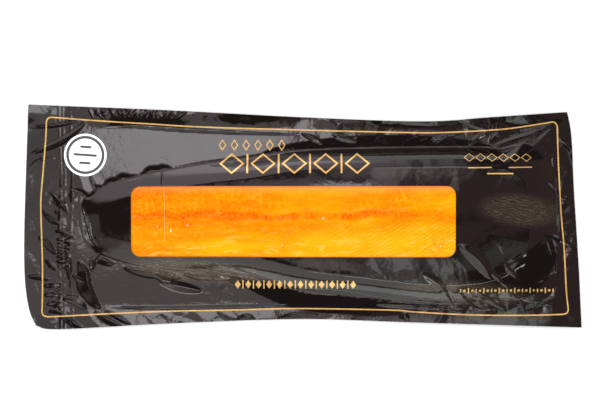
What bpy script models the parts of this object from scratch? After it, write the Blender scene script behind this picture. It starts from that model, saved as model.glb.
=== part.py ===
"""Side of salmon in a black vacuum pouch with a clear window and a round label.

Metres, +Z up. The pouch lies flat with its window up. The origin is on the surface that it lies on,
under the middle of its outline. +X points to the head end of the fillet and +Y to its back edge.

The fillet is a loft of rings from its outline in to its middle line. The pouch is a loft of the same
rings, raised by the film, that runs down a short slope round the fillet and out over the flat rim
where its two films are sealed together. The fillet's room is then cut out of it, and the window.
"""

import math
import random

import bmesh
import bpy
import numpy as np
from mathutils import Vector
from mathutils.bvhtree import BVHTree

# Films are 0.1 mm in a real pouch. They are modelled thicker, so that they are solids.
FILM = 0.0010
RIM_THICKNESS = 0.0012
GAP = 0.0003

# The pouch's four edges, each from corner to corner, anticlockwise from the lower left corner
POUCH_EDGES = {
    "lower": [(-0.316, -0.129), (-0.288, -0.133), (-0.155, -0.126),
              (-0.003, -0.121), (0.133, -0.125), (0.330, -0.131)],
    "head": [(0.330, -0.131), (0.327, -0.065), (0.321, 0.032), (0.318, 0.095), (0.313, 0.124)],
    "upper": [(0.313, 0.124), (0.223, 0.118), (0.141, 0.113),
              (-0.003, 0.118), (-0.157, 0.126), (-0.325, 0.133)],
    "tail": [(-0.325, 0.133), (-0.328, 0.048), (-0.330, -0.027),
             (-0.329, -0.076), (-0.324, -0.110), (-0.316, -0.129)],
}

# The fillet's outline in the same order. Its last point is the first of the lower edge.
FILLET_EDGES = {
    "lower": [(-0.246, -0.033), (-0.237, -0.039), (-0.198, -0.050), (-0.161, -0.055), (-0.079, -0.061),
              (-0.002, -0.079), (0.050, -0.086), (0.134, -0.096), (0.192, -0.097), (0.235, -0.089)],
    "head": [(0.235, -0.089), (0.264, -0.069), (0.280, -0.038),
             (0.283, 0.002), (0.277, 0.046), (0.257, 0.067)],
    "upper": [(0.257, 0.067), (0.235, 0.073), (0.193, 0.076), (0.080, 0.075), (-0.003, 0.072),
              (-0.063, 0.063), (-0.132, 0.054), (-0.190, 0.043), (-0.234, 0.030)],
    "tail": [(-0.234, 0.030), (-0.254, 0.018), (-0.258, -0.001), (-0.254, -0.024), (-0.246, -0.033)],
}
LONG_SIDE_STEPS = 46
SHORT_SIDE_STEPS = 16

# Fillet: its thickness along the length
TAIL_THICKNESS = 0.009
LOIN_THICKNESS = 0.027
HEAD_THICKNESS = 0.024
LOIN_AT = 0.65

# How much of that is left on the middle line, gained towards the back edge and lost towards both edges
MIDDLE_SHARE = 0.95
BACK_GAIN = 0.18
SIDES_LOSS = 0.25

# Fillet: the rounding of its edge, and the seam along its middle
EDGE_SHARE = 0.42
EDGE_ROUND = 0.019
SEAM_DEPTH = 0.0008
SPINE_INSET_TAIL = 0.045
SPINE_INSET_HEAD = 0.080
RING_SHARES = (0.95, 0.74, 0.50, 0.33, 0.21, 0.125, 0.065, 0.025, 0.0)

# Pouch: the slope from the fillet's edge down to the rim, and the rim
SLOPE_RUN = 0.010
SLOPE_STEPS = (1 / 3, 2 / 3, 1.0)
SLOPE_POWER = 1.5
RIM_STEPS = (0.22, 0.48, 0.74, 1.0)
RIM_LIFT = 0.0030
RIM_LIFT_REACH = 0.040
WAVES_ALONG = 31.0
WAVES_ACROSS = 23.0
WAVES_SKEW = 9.0
WAVES_START = 0.6
PLEAT = 0.0009
PLEAT_LAST_SHARE = 0.9
PLEAT_SEED = 11

# Window: the clear part of the upper film
WINDOW_LOW = Vector((-0.2035, -0.0475))
WINDOW_HIGH = Vector((0.1815, 0.0365))
WINDOW_CORNER = 0.011
WINDOW_CORNER_STEPS = 5
WINDOW_REACH = 0.060

# Label
LABEL_CENTRE = Vector((-0.2575, 0.0733))
LABEL_RADIUS = 0.0252
LABEL_THICKNESS = 0.0004
LABEL_RINGS = 6
LABEL_SPOKES = 28


def clear_scene():
    for obj in list(bpy.data.objects):
        bpy.data.objects.remove(obj, do_unlink=True)


def new_collection(name):
    collection = bpy.data.collections.new(name)
    bpy.context.scene.collection.children.link(collection)
    return collection


def new_material(name, colour, roughness, metallic=0.0, alpha=1.0):
    material = bpy.data.materials.new(name)
    material.use_nodes = True
    shader = material.node_tree.nodes["Principled BSDF"]
    shader.inputs["Base Color"].default_value = (*colour, 1.0)
    shader.inputs["Roughness"].default_value = roughness
    shader.inputs["Metallic"].default_value = metallic
    shader.inputs["Alpha"].default_value = alpha
    material.diffuse_color = (*colour, alpha)
    return material


def add_object(name, mesh, collection, material=None):
    obj = bpy.data.objects.new(name, mesh)
    collection.objects.link(obj)
    if material:
        mesh.materials.append(material)
    return obj


def as_cutter(obj):
    obj.hide_render = True
    obj.display_type = "WIRE"
    return obj


def smooth(t):
    t = np.clip(t, 0.0, 1.0)
    return t * t * (3 - 2 * t)


def catmull_rom(before, start, end, after, t):
    return 0.5 * (
        2 * start
        + (end - before) * t
        + (2 * before - 5 * start + 4 * end - after) * t**2
        + (3 * start - before - 3 * end + after) * t**3
    )


def evenly(line, steps):
    """The line walked in equal steps, without its last point."""
    lengths = np.concatenate([[0], np.cumsum(np.linalg.norm(np.diff(line, axis=0), axis=1))])
    at = np.linspace(0, lengths[-1], steps + 1)[:-1]
    return np.column_stack([np.interp(at, lengths, line[:, k]) for k in range(2)])


def curve_through(points, before, after, samples=12):
    """A smooth curve through the points. before and after set how it starts and ends."""
    known = [before, *points, after]
    t = np.linspace(0, 1, samples, endpoint=False)[:, None]
    pieces = [catmull_rom(*known[k : k + 4], t) for k in range(len(points) - 1)]
    return np.vstack([*pieces, points[-1][None]])


def closed_outline(edges, sharp_corners):
    """One ring of points round the four edges, with the same number on each edge for every outline."""
    sides = [np.array(points, float) for points in edges.values()]
    ring = []
    for k, side in enumerate(sides):
        last, following = sides[k - 1], sides[(k + 1) % len(sides)]
        before = 2 * side[0] - side[1] if sharp_corners else last[-2]
        after = 2 * side[-1] - side[-2] if sharp_corners else following[1]
        steps = LONG_SIDE_STEPS if k % 2 == 0 else SHORT_SIDE_STEPS
        ring.append(evenly(curve_through(side, before, after), steps))
    return np.vstack(ring)


def moved_out(ring, distance):
    """An anticlockwise ring moved along its outward normals."""
    along = np.roll(ring, -1, axis=0) - np.roll(ring, 1, axis=0)
    along /= np.linalg.norm(along, axis=1)[:, None]
    return ring + distance * np.column_stack([along[:, 1], -along[:, 0]])


class Fillet:
    """The salmon's outline, its middle line and its thickness at any point."""

    def __init__(self, outline):
        self.outline = outline
        long_side, short_side = LONG_SIDE_STEPS, SHORT_SIDE_STEPS
        lower = outline[: long_side + 1]
        upper = outline[long_side + short_side : 2 * long_side + short_side + 1][::-1]
        self.tail_x, self.head_x = outline[:, 0].min(), outline[:, 0].max()
        self.lower_x, self.lower_y = lower.T
        self.upper_x, self.upper_y = upper.T

    def middle_and_half(self, x):
        lower = np.interp(x, self.lower_x, self.lower_y)
        upper = np.interp(x, self.upper_x, self.upper_y)
        return (upper + lower) / 2, (upper - lower) / 2

    def spine_of(self, ring):
        """For each point of the ring, the point of the middle line that it shrinks towards."""
        x = np.clip(ring[:, 0], self.tail_x + SPINE_INSET_TAIL, self.head_x - SPINE_INSET_HEAD)
        return np.column_stack([x, self.middle_and_half(x)[0]])

    def depth_inside(self, points):
        """How far each point is inside the outline."""
        start = self.outline
        along = np.roll(start, -1, axis=0) - start
        share = ((points[:, None] - start) * along).sum(2) / (along**2).sum(1)
        nearest = start + np.clip(share, 0, 1)[:, :, None] * along
        return np.linalg.norm(points[:, None] - nearest, axis=2).min(1)

    def thickness(self, points):
        x, y = points.T
        along = (x - self.tail_x) / (self.head_x - self.tail_x)
        body = TAIL_THICKNESS + (LOIN_THICKNESS - TAIL_THICKNESS) * smooth(along / LOIN_AT)
        body -= (LOIN_THICKNESS - HEAD_THICKNESS) * smooth((along - LOIN_AT) / (1 - LOIN_AT))
        middle, half = self.middle_and_half(x)
        side = np.clip((y - middle) / half, -1, 1)
        body *= MIDDLE_SHARE + BACK_GAIN * side - SIDES_LOSS * side**2
        inside = np.clip(self.depth_inside(points) / EDGE_ROUND, 0, 1)
        rounding = np.sqrt(np.clip(1 - (1 - inside) ** 2, 0, 1))
        return body * (EDGE_SHARE + (1 - EDGE_SHARE) * rounding)

    def rings(self):
        """The rings from the middle line out to the outline, with the seam's dip on the first."""
        spine = self.spine_of(self.outline)
        made = []
        for share in RING_SHARES:
            ring = self.outline + share * (spine - self.outline)
            height = self.thickness(ring)
            if share == RING_SHARES[0]:
                height -= SEAM_DEPTH
            made.append((ring, height))
        return made


def loft(name, rings):
    """A closed mesh through rings of equal length. The first and last ring are capped."""
    bm = bmesh.new()
    loops = [[bm.verts.new(point) for point in ring] for ring in rings]
    count = len(loops[0])
    for inner, outer in zip(loops, loops[1:]):
        for k in range(count):
            following = (k + 1) % count
            bm.faces.new((inner[k], outer[k], outer[following], inner[following]))
    bm.faces.new(loops[0])
    bm.faces.new(loops[-1][::-1])
    bmesh.ops.recalc_face_normals(bm, faces=bm.faces)
    bmesh.ops.triangulate(bm, faces=bm.faces)
    mesh = bpy.data.meshes.new(name)
    bm.to_mesh(mesh)
    bm.free()
    return mesh


def with_height(ring, height):
    return np.column_stack([ring, np.broadcast_to(height, len(ring))])


def fillet_mesh(name, fillet, grown=0.0):
    """The salmon, or with grown above 0 the room that it takes in the pouch."""
    base = FILM + GAP
    rings = [(moved_out(ring, grown), height) for ring, height in fillet.rings()]
    lofted = [with_height(ring, base + grown + height) for ring, height in rings]
    outline = rings[-1][0]
    lofted.append(with_height(outline, base - grown))
    return loft(name, lofted)


def rim_heights(ring, foot, pleats, share):
    """The underside of the rim: low waves that grow away from the fillet, and pleats across it."""
    away = smooth(np.linalg.norm(ring - foot, axis=1) / RIM_LIFT_REACH)
    x, y = ring.T
    wave = np.sin(WAVES_ALONG * x + WAVES_START) * np.cos(WAVES_ACROSS * y + WAVES_SKEW * x)
    pleat = PLEAT * pleats * math.sin(math.pi * min(share, PLEAT_LAST_SHARE))
    return RIM_LIFT * away * (1 + wave) / 2 + pleat


def pouch_mesh(name, fillet, pouch_outline):
    """The outer shape of the filled pouch: over the fillet, down the slope, out, round and back under."""
    raised = FILM + GAP + FILM + GAP
    top = [with_height(ring, raised + height) for ring, height in fillet.rings()]
    edge_height = top[-1][:, 2]
    for step in SLOPE_STEPS:
        height = RIM_THICKNESS + (edge_height - RIM_THICKNESS) * (1 - step) ** SLOPE_POWER
        top.append(with_height(moved_out(fillet.outline, SLOPE_RUN * step), height))
    foot = top[-1][:, :2]
    chance = random.Random(PLEAT_SEED)
    pleats = np.array([chance.uniform(0, 2) for _ in foot])
    under = [with_height(foot, 0.0)]
    for share in RIM_STEPS:
        ring = foot + share * (pouch_outline - foot)
        height = rim_heights(ring, foot, pleats, share)
        top.append(with_height(ring, height + RIM_THICKNESS))
        under.append(with_height(ring, height))
    return loft(name, top + under[::-1])


def window_prism(name, collection, shrunk=0.0):
    """A tall block with the window's outline."""
    size = WINDOW_HIGH - WINDOW_LOW
    middle = (WINDOW_HIGH + WINDOW_LOW) / 2
    bm = bmesh.new()
    bmesh.ops.create_cube(bm, size=1.0)
    scale = (size.x - 2 * shrunk, size.y - 2 * shrunk, WINDOW_REACH)
    bmesh.ops.scale(bm, vec=scale, verts=bm.verts)
    upright = [e for e in bm.edges if abs(e.verts[0].co.z - e.verts[1].co.z) > WINDOW_REACH / 2]
    bmesh.ops.bevel(
        bm, geom=upright, offset=WINDOW_CORNER - shrunk, offset_type="OFFSET",
        segments=WINDOW_CORNER_STEPS, profile=0.5, affect="EDGES",
    )
    mesh = bpy.data.meshes.new(name)
    bm.to_mesh(mesh)
    bm.free()
    prism = add_object(name, mesh, collection)
    # It starts inside the fillet's room and ends above the pouch.
    prism.location = (middle.x, middle.y, TAIL_THICKNESS / 2 + WINDOW_REACH / 2)
    return as_cutter(prism)


def boolean(obj, operation, other):
    modifier = obj.modifiers.new(f"{operation.lower()} {other.name}", "BOOLEAN")
    modifier.operation = operation
    modifier.object = other
    modifier.solver = "EXACT"


def label_mesh(name, pouch):
    """A thin disc that follows the film under it, a gap above it."""
    tree = BVHTree.FromObject(pouch, bpy.context.evaluated_depsgraph_get())

    def film_height(x, y):
        above = Vector((x, y, 1.0))
        return tree.ray_cast(above, Vector((0, 0, -1)))[0].z

    bottom, top = [], []
    for k in range(1, LABEL_RINGS + 1):
        radius = LABEL_RADIUS * k / LABEL_RINGS
        low = []
        for turn in np.linspace(0, 2 * math.pi, LABEL_SPOKES, endpoint=False):
            x = LABEL_CENTRE.x + radius * math.cos(turn)
            y = LABEL_CENTRE.y + radius * math.sin(turn)
            low.append((x, y, film_height(x, y) + GAP))
        bottom.append(np.array(low))
        top.append(np.array(low) + (0, 0, LABEL_THICKNESS))
    return loft(name, top + bottom[::-1])


def main():
    clear_scene()
    parts = new_collection("salmon_side_pouch")
    cutters = new_collection("cutters")

    black_film = new_material("black_film", (0.012, 0.010, 0.010), 0.12)
    clear_film = new_material("clear_film", (1.0, 0.96, 0.90), 0.08, alpha=0.35)
    salmon_flesh = new_material("salmon_flesh", (0.95, 0.32, 0.02), 0.35)
    label_paper = new_material("label_paper", (0.90, 0.91, 0.92), 0.45)

    pouch_outline = closed_outline(POUCH_EDGES, sharp_corners=True)
    centre = (pouch_outline.min(0) + pouch_outline.max(0)) / 2
    fillet = Fillet(closed_outline(FILLET_EDGES, sharp_corners=False) - centre)
    pouch_outline -= centre

    room = as_cutter(add_object("fillet_room", fillet_mesh("fillet_room", fillet, GAP), cutters))
    opening = window_prism("window_opening", cutters)
    inside_opening = window_prism("window_panel_outline", cutters, shrunk=GAP)

    add_object("salmon_side", fillet_mesh("salmon_side", fillet), parts, salmon_flesh)

    film_bag = add_object("film_bag", pouch_mesh("film_bag", fillet, pouch_outline), parts, black_film)
    boolean(film_bag, "DIFFERENCE", room)
    boolean(film_bag, "DIFFERENCE", opening)

    window_film = add_object(
        "window_film", pouch_mesh("window_film", fillet, pouch_outline), parts, clear_film
    )
    boolean(window_film, "DIFFERENCE", room)
    boolean(window_film, "INTERSECT", inside_opening)

    bpy.context.view_layer.update()
    add_object("round_label", label_mesh("round_label", film_bag), parts, label_paper)


main()
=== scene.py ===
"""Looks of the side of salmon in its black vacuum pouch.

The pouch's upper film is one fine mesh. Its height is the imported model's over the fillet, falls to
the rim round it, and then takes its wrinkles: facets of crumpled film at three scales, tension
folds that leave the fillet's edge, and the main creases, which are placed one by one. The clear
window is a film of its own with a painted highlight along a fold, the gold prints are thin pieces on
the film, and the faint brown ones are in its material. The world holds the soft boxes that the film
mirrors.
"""

import math
import random

import bmesh
import bpy
import numpy as np
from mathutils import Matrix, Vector
from mathutils.bvhtree import BVHTree
from mathutils.geometry import delaunay_2d_cdt
from mathutils.kdtree import KDTree


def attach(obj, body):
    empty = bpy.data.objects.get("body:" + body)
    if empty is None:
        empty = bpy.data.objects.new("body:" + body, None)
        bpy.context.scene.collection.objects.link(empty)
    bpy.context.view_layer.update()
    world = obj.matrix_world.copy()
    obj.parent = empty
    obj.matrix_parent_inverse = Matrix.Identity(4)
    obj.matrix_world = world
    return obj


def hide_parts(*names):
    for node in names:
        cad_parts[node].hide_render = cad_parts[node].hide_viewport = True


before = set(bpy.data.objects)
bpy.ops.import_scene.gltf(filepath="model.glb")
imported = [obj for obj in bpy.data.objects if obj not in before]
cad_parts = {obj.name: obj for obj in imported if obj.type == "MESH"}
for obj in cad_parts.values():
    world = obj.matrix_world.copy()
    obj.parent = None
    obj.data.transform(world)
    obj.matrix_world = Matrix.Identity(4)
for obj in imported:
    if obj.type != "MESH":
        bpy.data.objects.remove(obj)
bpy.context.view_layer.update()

MM = 0.001

# The pouch's four edges and the fillet's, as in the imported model, in metres
POUCH_EDGES = {
    "lower": [(-0.316, -0.129), (-0.288, -0.133), (-0.155, -0.126),
              (-0.003, -0.121), (0.133, -0.125), (0.330, -0.131)],
    "head": [(0.330, -0.131), (0.327, -0.065), (0.321, 0.032), (0.318, 0.095), (0.313, 0.124)],
    "upper": [(0.313, 0.124), (0.223, 0.118), (0.141, 0.113),
              (-0.003, 0.118), (-0.157, 0.126), (-0.325, 0.133)],
    "tail": [(-0.325, 0.133), (-0.328, 0.048), (-0.330, -0.027),
             (-0.329, -0.076), (-0.324, -0.110), (-0.316, -0.129)],
}
FILLET_EDGES = {
    "lower": [(-0.246, -0.033), (-0.237, -0.039), (-0.198, -0.050), (-0.161, -0.055), (-0.079, -0.061),
              (-0.002, -0.079), (0.050, -0.086), (0.134, -0.096), (0.192, -0.097), (0.235, -0.089)],
    "head": [(0.235, -0.089), (0.264, -0.069), (0.280, -0.038),
             (0.283, 0.002), (0.277, 0.046), (0.257, 0.067)],
    "upper": [(0.257, 0.067), (0.235, 0.073), (0.193, 0.076), (0.080, 0.075), (-0.003, 0.072),
              (-0.063, 0.063), (-0.132, 0.054), (-0.190, 0.043), (-0.234, 0.030)],
    "tail": [(-0.234, 0.030), (-0.254, 0.018), (-0.258, -0.001), (-0.254, -0.024), (-0.246, -0.033)],
}

# Film: the step of its mesh, its height over the fillet and the ground, and its lowest and highest
PITCH = 1.27 * MM
FILM_LIFT = 1.2 * MM
RIM_Z = 2.1 * MM
LOWEST, HIGHEST = 0.5 * MM, 28.9 * MM

# The lines of its mesh are straight between these X and these Y, and bend towards the cut edges beyond
STRAIGHT = ((-0.270, 0.250), (-0.100, 0.090))

# Where the film falls from the fillet to the rim: from inside the fillet's outline to outside it
ROUND_IN = 18 * MM
ROUND_OUT = 6 * MM
# How much farther out it ends at the head, and the X where that starts and how soon it is reached
HEAD_ROUND_OUT = 16 * MM
HEAD_FROM, HEAD_RUN = 0.225, 0.05
# The X from which the film sinks towards the tail, and its slope
TAIL_FROM, TAIL_SLOPE = -0.192, 0.11

# Rim: it rises in front of one Y and behind another, each over a width, and more towards the head
RIM_FRONT, FRONT_WIDTH, FRONT_RISE, FRONT_HEAD_RISE = 0.100, 0.060, 1.76 * MM, 2.20 * MM
RIM_BACK, BACK_WIDTH, BACK_RISE, BACK_HEAD_RISE = 0.103, 0.022, 1.21 * MM, 0.66 * MM
RIM_HEAD_FROM, RIM_HEAD_RUN = 0.06, 0.12
# Rim: it is sunk at the tail
SUNK_FROM, SUNK_RUN, SUNK_DEPTH = 0.258, 0.065, 0.9 * MM

# Under film: how far it takes to rise to the rim, and its gap to the upper film there
UNDER_RUN = 22 * MM
SEAL_GAP = 0.6 * MM

# Window
WINDOW_LOW = np.array((-0.2030, -0.0475))
WINDOW_HIGH = np.array((0.1798, 0.0365))
WINDOW_CORNER = 11 * MM
# How far its panel laps under the black film, and how far it lies below it
PANEL_LAP = 2.5 * PITCH
PANEL_DROP = 0.15 * MM
WINDOW_MIDDLE = (WINDOW_HIGH + WINDOW_LOW) / 2
WINDOW_HALF = (WINDOW_HIGH - WINDOW_LOW) / 2

# Label
LABEL_CENTRE = np.array((-0.2575, 0.0733))
LABEL_RADIUS = 25.2 * MM

# Flesh: the step of its mesh, its gap to the film, how far its top is raised and its bands' height
FLESH_PITCH = 2.6 * MM
FLESH_GAP = 0.6 * MM
FLESH_RISE, BAND_RISE = 0.7 * MM, 0.12 * MM

# Camera and lamp
CAMERA_AT = (-0.0033, 0.0170, 3.0)
VIEW_WIDTH = 0.711
SENSOR = 36.0
LAMP_AT = (-0.9, 1.3, 2.2)
LAMP_SIZE = (1.6, 1.2)
LAMP_POWER = 14.0
FLOOR_HALF = 6.0


# Outlines


def catmull_rom(before, start, end, after, t):
    return 0.5 * (
        2 * start
        + (end - before) * t
        + (2 * before - 5 * start + 4 * end - after) * t**2
        + (3 * start - before - 3 * end + after) * t**3
    )


def smooth_line(points, before=None, after=None, samples=12):
    """A smooth line through the points, ends included."""
    points = np.array(points, float)
    first = 2 * points[0] - points[1] if before is None else before
    last = 2 * points[-1] - points[-2] if after is None else after
    known = [first, *points, last]
    t = np.linspace(0, 1, samples, endpoint=False)[:, None]
    pieces = [catmull_rom(*known[k : k + 4], t) for k in range(len(points) - 1)]
    return np.vstack([*pieces, points[-1][None]])


def closed_outline(edges, sharp_corners):
    sides = [np.array(points, float) for points in edges.values()]
    ring = []
    for k, side in enumerate(sides):
        before = None if sharp_corners else sides[k - 1][-2]
        after = None if sharp_corners else sides[(k + 1) % len(sides)][1]
        ring.append(smooth_line(side, before, after)[:-1])
    return np.vstack(ring)


def pouch_outline():
    """The pouch's outline and its middle, which is the part's origin."""
    outline = closed_outline(POUCH_EDGES, sharp_corners=True)
    return outline, (outline.min(0) + outline.max(0)) / 2


def evenly(line, pitch):
    """The line walked in equal steps of about pitch, ends included."""
    lengths = np.concatenate([[0], np.cumsum(np.linalg.norm(np.diff(line, axis=0), axis=1))])
    steps = max(2, round(lengths[-1] / pitch))
    at = np.linspace(0, lengths[-1], steps + 1)
    return np.column_stack([np.interp(at, lengths, line[:, k]) for k in range(line.shape[1])])


def is_inside(points, polygon):
    x, y = points.T
    inside = np.zeros(len(points), bool)
    for (x0, y0), (x1, y1) in zip(polygon, np.roll(polygon, -1, axis=0)):
        if y0 != y1:
            crosses = (y0 > y) != (y1 > y)
            inside ^= crosses & (x < x0 + (y - y0) * (x1 - x0) / (y1 - y0))
    return inside


def smooth(t):
    t = np.clip(t, 0.0, 1.0)
    return t * t * (3 - 2 * t)


# Film heights


class Raster:
    """Heights on a square grid, sampled between its points."""

    def __init__(self, low, high, pitch):
        self.low, self.pitch = np.array(low), pitch
        self.size = np.ceil((np.array(high) - self.low) / pitch).astype(int) + 1
        x = self.low[0] + pitch * np.arange(self.size[0])
        y = self.low[1] + pitch * np.arange(self.size[1])
        self.points = np.stack(np.meshgrid(x, y, indexing="ij"), axis=-1).reshape(-1, 2)
        self.values = None

    def blur(self, sigma):
        reach = int(3 * sigma / self.pitch)
        weights = np.exp(-0.5 * (np.arange(-reach, reach + 1) * self.pitch / sigma) ** 2)
        weights /= weights.sum()
        for axis in (0, 1):
            padding = [(reach, reach) if k == axis else (0, 0) for k in (0, 1)]
            padded = np.pad(self.values, padding, mode="edge")
            count = self.size[axis]
            parts = [w * np.take(padded, range(k, k + count), axis) for k, w in enumerate(weights)]
            self.values = sum(parts)

    def sample(self, points):
        at = np.clip((points - self.low) / self.pitch, 0, self.size - 1.001)
        cell = at.astype(int)
        (i, j), (u, v) = cell.T, (at - cell).T
        values = self.values
        near = values[i, j] * (1 - v) + values[i, j + 1] * v
        far = values[i + 1, j] * (1 - v) + values[i + 1, j + 1] * v
        return near * (1 - u) + far * u


def cast_down(tree, points, start=1.0):
    """The height of the surface under each point, and 0 where there is none."""
    down = Vector((0, 0, -1))
    hits = [tree.ray_cast(Vector((x, y, start)), down)[0] for x, y in points]
    return np.array([hit.z if hit else 0.0 for hit in hits])


def tree_of(obj):
    return BVHTree.FromObject(obj, bpy.context.evaluated_depsgraph_get())


class Facets:
    """Flat facets with sharp folds between them, as crumpled film has. Heights run from -1 to 1."""

    REACH = np.array((0.36, 0.16))

    def __init__(self, size, seed, stretch, turn):
        c, s = math.cos(turn), math.sin(turn)
        self.turning = np.array(((c, s), (-s, c)))
        self.stretch = np.array(stretch)
        chance = random.Random(seed)
        count = int(self.REACH[0] / size / min(stretch)) + 1
        corners, heights = [], []
        for i in range(-count, count):
            for j in range(-count, count):
                shift = chance.uniform(-0.42, 0.42), chance.uniform(-0.42, 0.42)
                spot = np.array((i + 0.5 * (j % 2), j)) + shift
                if (np.abs((spot * size * self.stretch) @ self.turning) < self.REACH).all():
                    corners.append(Vector(spot * size))
                    heights.append(chance.uniform(-1, 1))
        made = delaunay_2d_cdt(corners, [], [], 0, 1e-6)
        points = [(p.x, p.y, heights[o[0]]) for p, o in zip(made[0], made[3])]
        self.tree = BVHTree.FromPolygons(points, made[2])

    def sample(self, points):
        return cast_down(self.tree, (points @ self.turning.T) / self.stretch, 2.0)


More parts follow.
